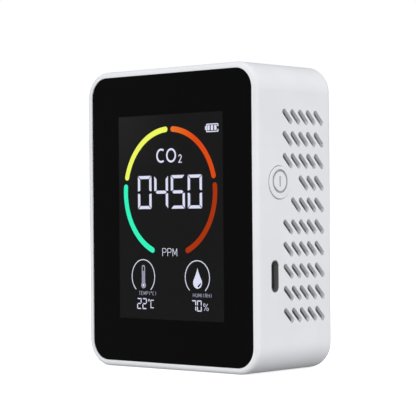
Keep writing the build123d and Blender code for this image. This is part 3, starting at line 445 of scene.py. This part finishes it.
class Figure:
    """One lit shape of the display: outlines less holes, joined in the plane and given thickness."""

    def __init__(self):
        self.filled = []
        self.holes = []

    def area(self, outline, *holes):
        self.filled.append(outline)
        self.holes += holes

    def stroke(self, points, width, closed=False, round_ends=False):
        """A line of even width along the points, its sharpest corners cut short."""
        half = width / 2
        count = len(points)
        sides = []
        for i, (x, z) in enumerate(points):
            before = points[i - 1] if i or closed else None
            after = points[(i + 1) % count] if i < count - 1 or closed else None
            normals = []
            for a, b in ((before, (x, z)), ((x, z), after)):
                if a and b:
                    normals.append(Vector((a[1] - b[1], b[0] - a[0])).normalized())
            normal = sum(normals, Vector((0, 0))).normalized()
            reach = half / max(SHARPEST, normal.dot(normals[0]))
            out = (normal.x * reach, normal.y * reach)
            sides.append(((x + out[0], z + out[1]), (x - out[0], z - out[1])))
        if closed:
            sides.append(sides[0])
        for (a, b), (c, d) in zip(sides, sides[1:]):
            self.area([a, b, d, c])
        if round_ends:
            for x, z in (points[0], points[-1]):
                self.area(disc(x, z, half))

    def write(self, text, x, z, height, stroke, gap):
        """Stroke lettering from the left end of its base line."""
        for letter in text:
            width, strokes = GLYPHS[letter]
            w, h = width * height - stroke, height - stroke
            for points in strokes:
                moved = [(x + stroke / 2 + px * w, z + stroke / 2 + pz * h) for px, pz in points]
                self.stroke(moved, stroke)
            x += width * height + gap

    def digit(self, number, x, z, w, h, t, gap):
        """A seven-segment digit in a box of w by h, with bars of thickness t."""
        g = gap / 2
        m = h / 2
        bars = {
            "a": [(g, h), (w - g, h), (w - t - g, h - t), (t + g, h - t)],
            "d": [(g, 0), (t + g, t), (w - t - g, t), (w - g, 0)],
            "g": [
                (t / 2 + g, m), (t + g, m + t / 2), (w - t - g, m + t / 2),
                (w - t / 2 - g, m), (w - t - g, m - t / 2), (t + g, m - t / 2),
            ],
            "f": [
                (0, h - g), (t, h - t - g), (t, m + t / 2 + g), (t / 2, m + 2 * g), (0, m + 2 * g),
            ],
        }
        bars["e"] = [(px, h - pz) for px, pz in bars["f"]]
        bars["b"] = [(w - px, pz) for px, pz in bars["f"]]
        bars["c"] = [(w - px, h - pz) for px, pz in bars["f"]]
        for bar in SEGMENTS[number]:
            self.area([(x + px, z + pz) for px, pz in bars[bar]])

    def tiles(self):
        """Corners and triangles of the joined outlines, less the holes."""
        corners, loops = [], []
        for outline in self.filled + self.holes:
            ahead = outline[1:] + outline[:1]
            turn = sum(a[0] * b[1] - b[0] * a[1] for a, b in zip(outline, ahead))
            loops.append(range(len(corners), len(corners) + len(outline)))
            corners += outline if turn > 0 else outline[::-1]
        found = delaunay_2d_cdt([Vector(c) for c in corners], [], loops, 0, JOINED)
        places, triangles, owners = found[0], found[2], found[5]
        filled = len(self.filled)
        return places, [t for t, own in zip(triangles, owners) if own and max(own) < filled]

    def done(self, name, material, lift=0.0):
        """Makes the piece, thickened backwards on to the film, and puts it on its body."""
        bm = bmesh.new()
        places, triangles = self.tiles()
        front_y = figure_front_y - lift
        made = {}
        for triangle in triangles:
            for i in triangle:
                if i not in made:
                    x, z = places[i]
                    made[i] = bm.verts.new((figure_x + x * MM, front_y, figure_z + z * MM))
            bm.faces.new([made[i] for i in triangle])
        grown = bmesh.ops.extrude_face_region(bm, geom=bm.faces[:])
        moved = [v for v in grown["geom"] if isinstance(v, bmesh.types.BMVert)]
        bmesh.ops.translate(bm, vec=(0, figure_t + lift, 0), verts=moved)
        bmesh.ops.recalc_face_normals(bm, faces=bm.faces)
        mesh = bpy.data.meshes.new(name)
        bm.to_mesh(mesh)
        bm.free()
        mesh.materials.append(material)
        piece = bpy.data.objects.new(name, mesh)
        bpy.context.scene.collection.objects.link(piece)
        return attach(piece, CASE)


SEGMENTS = {"0": "abcdef", "2": "abged", "4": "fgbc", "5": "afgcd", "7": "abc"}

# Letters as (width for a height of 1, strokes), each stroke a line through a box of 1 by 1
BOWL = [(0.0, 1.0), (0.5, 1.0), *arc(0.55, 0.74, 0.45, 80, -80, 0.26), (0.5, 0.48), (0.0, 0.48)]
STEM = [(0, 0), (0, 1)]
GLYPHS = {
    "T": (0.62, [[(0, 1), (1, 1)], [(0.5, 1), (0.5, 0)]]),
    "E": (0.60, [[(1, 1), (0, 1), (0, 0), (1, 0)], [(0, 0.5), (0.85, 0.5)]]),
    "M": (0.74, [STEM, [(0, 1), (0.5, 0.25), (1, 1)], [(1, 1), (1, 0)]]),
    "P": (0.68, [STEM, BOWL]),
    "R": (0.66, [STEM, BOWL, [(0.45, 0.48), (1, 0)]]),
    "H": (0.70, [STEM, [(1, 0), (1, 1)], [(0, 0.5), (1, 0.5)]]),
    "U": (0.70, [[(0, 1), *arc(0.5, 0.3, 0.5, 180, 360, 0.3), (1, 1)]]),
    "I": (0.22, [[(0.5, 0), (0.5, 1)]]),
    "C": (0.66, [arc(0.5, 0.5, 0.5, 52, 308)]),
    "(": (0.34, [arc(1.0, 0.5, 1.0, 118, 242, 0.55)]),
    ")": (0.34, [arc(0.0, 0.5, 1.0, 62, -62, 0.55)]),
    "*": (0.34, [arc(0.5, 0.85, 0.5, 0, 350, 0.18)]),
}

# ------------------------------------------------------------------ display figures
lit_white = lit("lit_white", srgb(226, 227, 250))
lit_thin = lit("lit_thin", srgb(226, 227, 246))
lit_dim = lit("lit_dim", srgb(165, 164, 186))
lit_faint = lit("lit_faint", srgb(150, 147, 168))
lit_yellow = lit("lit_yellow", srgb(244, 254, 98))
lit_green = lit("lit_green", srgb(50, 250, 192))

# Coloured scale round the reading: four arcs with round ends
scale_x, scale_z = 0.13, 7.66
scale_rx, scale_rz = 17.65, 18.38
scale_w = 1.62
scale_steps = 48
cap_turn = math.degrees(scale_w / 2 / scale_rx)
fade_right, fade_left = 10.0, 1.0
fade = (figure_x + fade_right * MM, figure_x + fade_left * MM)
lit_orange = lit("lit_orange", srgb(242, 114, 36), dim=srgb(222, 72, 6), across=fade)
lit_red = lit("lit_red", srgb(171, 50, 0))
scale_parts = (           # name, first and last angle in degrees, material
    ("scale_yellow", 92.0, 168.5, lit_yellow),
    ("scale_green", 172.0, 249.5, lit_green),
    ("scale_orange", 11.5, 88.0, lit_orange),
    ("scale_red", -69.5, 8.0, lit_red),
)
for name, start, end, material in scale_parts:
    figure = Figure()
    start, end = start + cap_turn, end - cap_turn
    line = arc(scale_x, scale_z, scale_rx, start, end, scale_rz, scale_steps)
    figure.stroke(line, scale_w, round_ends=True)
    figure.done(name, material)

# The reading: four digits
reading_x, reading_z, reading_pitch = -12.53, 2.82, 6.62
reading_w, reading_h, reading_t, reading_gap = 5.48, 9.74, 0.9, 0.36
figure = Figure()
for i, number in enumerate("0450"):
    x = reading_x + reading_pitch * i
    figure.digit(number, x, reading_z, reading_w, reading_h, reading_t, reading_gap)
figure.done("reading_digits", lit_white)

# The gas above it: two round letters and a small 2
letter_z, letter_rx, letter_rz, letter_t = 18.35, 1.68, 1.8, 0.56
c_x, c_mouth = -3.05, 56
o_x = 0.88
two_x, two_z, two_r, two_t = 4.4, 17.86, 0.52, 0.28
foot_left, foot_right, foot_z = 3.92, 5.04, 16.24
figure = Figure()
letter_c = arc(c_x, letter_z, letter_rx, c_mouth, 360 - c_mouth, letter_rz)
figure.stroke(letter_c, letter_t)
figure.stroke(arc(o_x, letter_z, letter_rx, 0, 354, letter_rz), letter_t, closed=True)
two_head = arc(two_x, two_z, two_r, 172, -32)
figure.stroke([*two_head, (foot_left, foot_z), (foot_right, foot_z)], two_t)
figure.done("gas_name", lit_white)

# The unit below it
unit_x, unit_z, unit_h, unit_t, unit_gap = -2.88, -11.05, 2.4, 0.17, 0.4
figure = Figure()
figure.write("PPM", unit_x, unit_z, unit_h, unit_t, unit_gap)
figure.done("gas_unit", lit_thin)

# Battery icon: an outline with a pole at one end and a notch at the other
battery_x, battery_z, battery_w, battery_h, battery_r = 14.6, 24.52, 4.62, 2.42, 0.3
battery_t = 0.3
inside_r = 0.1
notch_x, notch_z, notch_w, notch_h, notch_r = 18.7, 25.34, 1.0, 0.76, 0.02
pole_x, pole_z, pole_w, pole_h, pole_r = 14.2, 25.2, 0.5, 1.05, 0.12
inside_w, inside_h = battery_w - 2 * battery_t, battery_h - 2 * battery_t
figure = Figure()
figure.area(
    box_outline(battery_x, battery_z, battery_w, battery_h, battery_r),
    box_outline(battery_x + battery_t, battery_z + battery_t, inside_w, inside_h, inside_r),
    box_outline(notch_x, notch_z, notch_w, notch_h, notch_r),
)
figure.area(box_outline(pole_x, pole_z, pole_w, pole_h, pole_r))
figure.done("battery_icon", lit_thin)

# Its three full bars
bar_x, bar_pitch, bar_z = 15.1, 1.28, 25.06
bar_w, bar_h, bar_r = 0.86, 1.4, 0.05
figure = Figure()
for i in range(3):
    figure.area(box_outline(bar_x + bar_pitch * i, bar_z, bar_w, bar_h, bar_r))
figure.done("battery_bars", lit_white)

# Ring round each of the two lower icons, open over its caption
ring_start, ring_end, ring_steps, ring_w = -50.5, 230.0, 48, 0.26
rings = (                 # name, middle x and z, half width and half height
    ("temperature_ring", -10.64, -17.08, 4.6, 4.98),
    ("humidity_ring", 10.74, -17.02, 4.68, 4.84),
)
for name, x, z, rx, rz in rings:
    figure = Figure()
    figure.stroke(arc(x, z, rx, ring_start, ring_end, rz, ring_steps), ring_w)
    figure.done(name, lit_thin)

# Thermometer: a tube that widens into a bulb, with a brighter spot in it and an empty top
tube_x, tube_top, bulb_z = -10.58, -13.68, -19.62
tube_r, bulb_r, rim_w = 0.64, 0.94, 0.2
empty_z, empty_w, empty_h, empty_r = -15.5, 0.62, 1.4, 0.3
spot_r, spot_lift = 0.34, 0.01 * MM


def thermometer_outline(inset):
    """Outline of the tube and its bulb, inset by so much."""
    top_r, low_r = tube_r - inset, bulb_r - inset
    join = math.degrees(math.acos(top_r / low_r))
    return [
        *arc(tube_x, tube_top - tube_r, top_r, 0, 180),
        *arc(tube_x, bulb_z, low_r, 180 - join, 360 + join, steps=24),
    ]


figure = Figure()
empty = box_outline(tube_x - empty_w / 2, empty_z, empty_w, empty_h, empty_r)
figure.area(thermometer_outline(rim_w), empty)
figure.done("thermometer_icon", lit_faint)
figure = Figure()
figure.area(thermometer_outline(0.0), thermometer_outline(rim_w))
figure.done("thermometer_rim", lit_dim)
figure = Figure()
figure.area(disc(tube_x, bulb_z, spot_r))
figure.done("thermometer_spot", lit_white, lift=spot_lift)

# Captions under the rings
caption_h, caption_t, caption_gap = 1.15, 0.12, 0.26


def caption(name, z, *words):
    """One line of small lettering. Each word is (text, its left end)."""
    made = Figure()
    for text, x in words:
        made.write(text, x, z, caption_h, caption_t, caption_gap)
    made.done(name, lit_dim)


caption("temperature_caption", -22.55, ("TEMP", -12.5), ("(*C)", -8.3))

# Temperature: two small digits, a ring for degrees and a square C
small_w, small_h, small_t, small_gap = 1.76, 3.2, 0.32, 0.18
degrees_x, degrees_z, degrees_pitch = -13.22, -26.68, 2.16
degree_x, degree_z, degree_r, degree_t = -8.45, -24.0, 0.25, 0.18
unit_c_left, unit_c_right, unit_c_top, unit_c_low, unit_c_t = -7.66, -6.5, -24.0, -26.2, 0.24
figure = Figure()
for i, number in enumerate("22"):
    x = degrees_x + degrees_pitch * i
    figure.digit(number, x, degrees_z, small_w, small_h, small_t, small_gap)
figure.stroke(arc(degree_x, degree_z, degree_r, 0, 330), degree_t, closed=True)
figure.stroke(
    [
        (unit_c_right, unit_c_top), (unit_c_left, unit_c_top),
        (unit_c_left, unit_c_low), (unit_c_right, unit_c_low),
    ],
    unit_c_t,
)
figure.done("temperature_reading", lit_white)

# Drop: two sides that swell to a round belly, with a glint cut out of it
drop_x, drop_top, drop_z, drop_r = 10.83, -14.2, -18.52, 1.7
side_steps, side_swell = 12, 1.3
glint = [
    (10.76, -19.72), (11.05, -19.28), (12.0, -18.56), (12.26, -18.72), (11.85, -19.32), (11.2, -19.84),
]
turn = math.degrees(math.asin(drop_r / (drop_top - drop_z)))
shoulder_x = drop_r * math.cos(math.radians(turn))
shoulder_z = drop_z + drop_r * math.sin(math.radians(turn))
side = []
for i in range(side_steps):
    f = i / side_steps
    side.append((drop_x - shoulder_x * f ** side_swell, drop_top + (shoulder_z - drop_top) * f))
belly = arc(drop_x, drop_z, drop_r, 180 - turn, 360 + turn, steps=30)
mirrored = [(2 * drop_x - x, z) for x, z in side[:0:-1]]
figure = Figure()
figure.area(side + belly + mirrored, glint)
figure.done("drop_icon", lit_white)

caption("humidity_caption", -22.7, ("HUMI", 9.0), ("(RH)", 13.0))

# Humidity: two small digits and a percent sign
percents_x, percents_z, percents_pitch = 8.45, -26.76, 2.12
percent_rings = ((13.35, -24.85), (14.6, -26.02))
percent_rx, percent_rz, percent_ring_t = 0.33, 0.4, 0.13
percent_bar, percent_bar_t = [(13.3, -26.45), (14.65, -24.4)], 0.14
figure = Figure()
for i, number in enumerate("70"):
    x = percents_x + percents_pitch * i
    figure.digit(number, x, percents_z, small_w, small_h, small_t, small_gap)
for x, z in percent_rings:
    figure.stroke(arc(x, z, percent_rx, 0, 330, percent_rz), percent_ring_t, closed=True)
figure.stroke(percent_bar, percent_bar_t)
figure.done("humidity_reading", lit_white)

# ------------------------------------------------------------------ stage, lights and camera
centre = (housing_low + housing_high) / 2
floor_half = 6.0
floor_drop = 0.05 * MM
floor_glow = 0.6


def plain(name, colour, rough, glow):
    """Plain stage surface, a little uneven, with some light of its own."""
    s = Shader(name, Emission_Color=(1, 1, 1, 1), Emission_Strength=glow)
    uneven = s.noise(0.4, detail=2.0)
    s.colour(s.ramp(uneven, (0.3, shade(colour, 0.99)), (0.7, colour)))
    s.rough(uneven, rough, rough + 0.05)
    return s.material


floor_mesh = bpy.data.meshes.new("floor")
floor_corners = [(x * floor_half, y * floor_half, 0) for x, y in ((-1, -1), (1, -1), (1, 1), (-1, 1))]
floor_mesh.from_pydata(floor_corners, [], [(0, 1, 2, 3)])
floor_mesh.materials.append(plain("floor_paint", (0.93, 0.93, 0.93, 1), 0.8, floor_glow))
floor = bpy.data.objects.new("floor", floor_mesh)
floor.location.z = cad_box[0].z - floor_drop
bpy.context.scene.collection.objects.link(floor)
floor.visible_glossy = False
floor.visible_diffuse = False
floor.visible_transmission = False

# Even light from above and round about, less from below, and little of it in reflections
world = bpy.data.worlds.new("studio")
world.use_nodes = True
bpy.context.scene.world = world
tree = world.node_tree
tree.nodes.clear()
sky = tree.nodes.new("ShaderNodeBackground")
sky.inputs["Color"].default_value = (0.985, 0.99, 1.0, 1)
direction = tree.nodes.new("ShaderNodeTexCoord")
split = tree.nodes.new("ShaderNodeSeparateXYZ")
level = tree.nodes.new("ShaderNodeMapRange")
for key, number in (("From Min", -0.9), ("From Max", -0.1), ("To Min", 0.02), ("To Max", 0.95)):
    level.inputs[key].default_value = number
tree.links.new(direction.outputs["Generated"], split.inputs[0])
tree.links.new(split.outputs["Z"], level.inputs["Value"])
path = tree.nodes.new("ShaderNodeLightPath")
strength = level.outputs["Result"]
for ray, seen in (("Is Glossy Ray", 0.1), ("Is Transmission Ray", 0.02), ("Is Camera Ray", 1.03)):
    mix = tree.nodes.new("ShaderNodeMix")
    tree.links.new(path.outputs[ray], mix.inputs["Factor"])
    tree.links.new(strength, mix.inputs["A"])
    mix.inputs["B"].default_value = seen
    strength = mix.outputs["Result"]
tree.links.new(strength, sky.inputs["Strength"])
out = tree.nodes.new("ShaderNodeOutputWorld")
tree.links.new(sky.outputs[0], out.inputs["Surface"])


def softbox(name, place, size, power, glossy=True):
    """Square lamp that faces the middle of the object."""
    lamp = bpy.data.lights.new(name, "AREA")
    lamp.shape = "SQUARE"
    lamp.size = size
    lamp.energy = power
    made = bpy.data.objects.new(name, lamp)
    made.location = centre + Vector(place)
    made.rotation_euler = (-Vector(place)).to_track_quat("-Z", "Y").to_euler()
    made.visible_glossy = glossy
    made.visible_camera = False
    made.visible_transmission = False
    bpy.context.scene.collection.objects.link(made)


softbox("key", (0.7, -0.75, -0.05), size=0.6, power=4.8, glossy=False)
softbox("left", (-0.7, -0.75, 0.1), size=0.8, power=2.0, glossy=False)
softbox("rear", (0.75, 0.7, 0.15), size=0.7, power=1.8, glossy=False)
softbox("overhead", (0.0, 0.1, 1.0), size=0.8, power=0.25)

# The camera is level with the middle of the object, 505 mm from it, to the right of its front
camera_place = Vector((334.9, -378.5, 0.6)) * MM
camera_turn = math.radians(41.499)
camera_rise = math.radians(0.272)
camera_roll = math.radians(-0.467)
ahead = Vector((
    -math.sin(camera_turn) * math.cos(camera_rise),
    math.cos(camera_turn) * math.cos(camera_rise),
    math.sin(camera_rise),
))
across = Vector((math.cos(camera_turn), math.sin(camera_turn), 0))
upward = across.cross(ahead)
right = math.cos(camera_roll) * across + math.sin(camera_roll) * upward
top = -math.sin(camera_roll) * across + math.cos(camera_roll) * upward
camera = bpy.data.cameras.new("camera")
camera.lens = 146.8
camera.sensor_width = 36.0
camera_object = bpy.data.objects.new("camera", camera)
turn_matrix = Matrix((right, top, -ahead)).transposed().to_4x4()
camera_object.matrix_world = Matrix.Translation(centre + camera_place) @ turn_matrix
bpy.context.scene.collection.objects.link(camera_object)
bpy.context.scene.camera = camera_object
bpy.context.scene.view_settings.view_transform = "Standard"
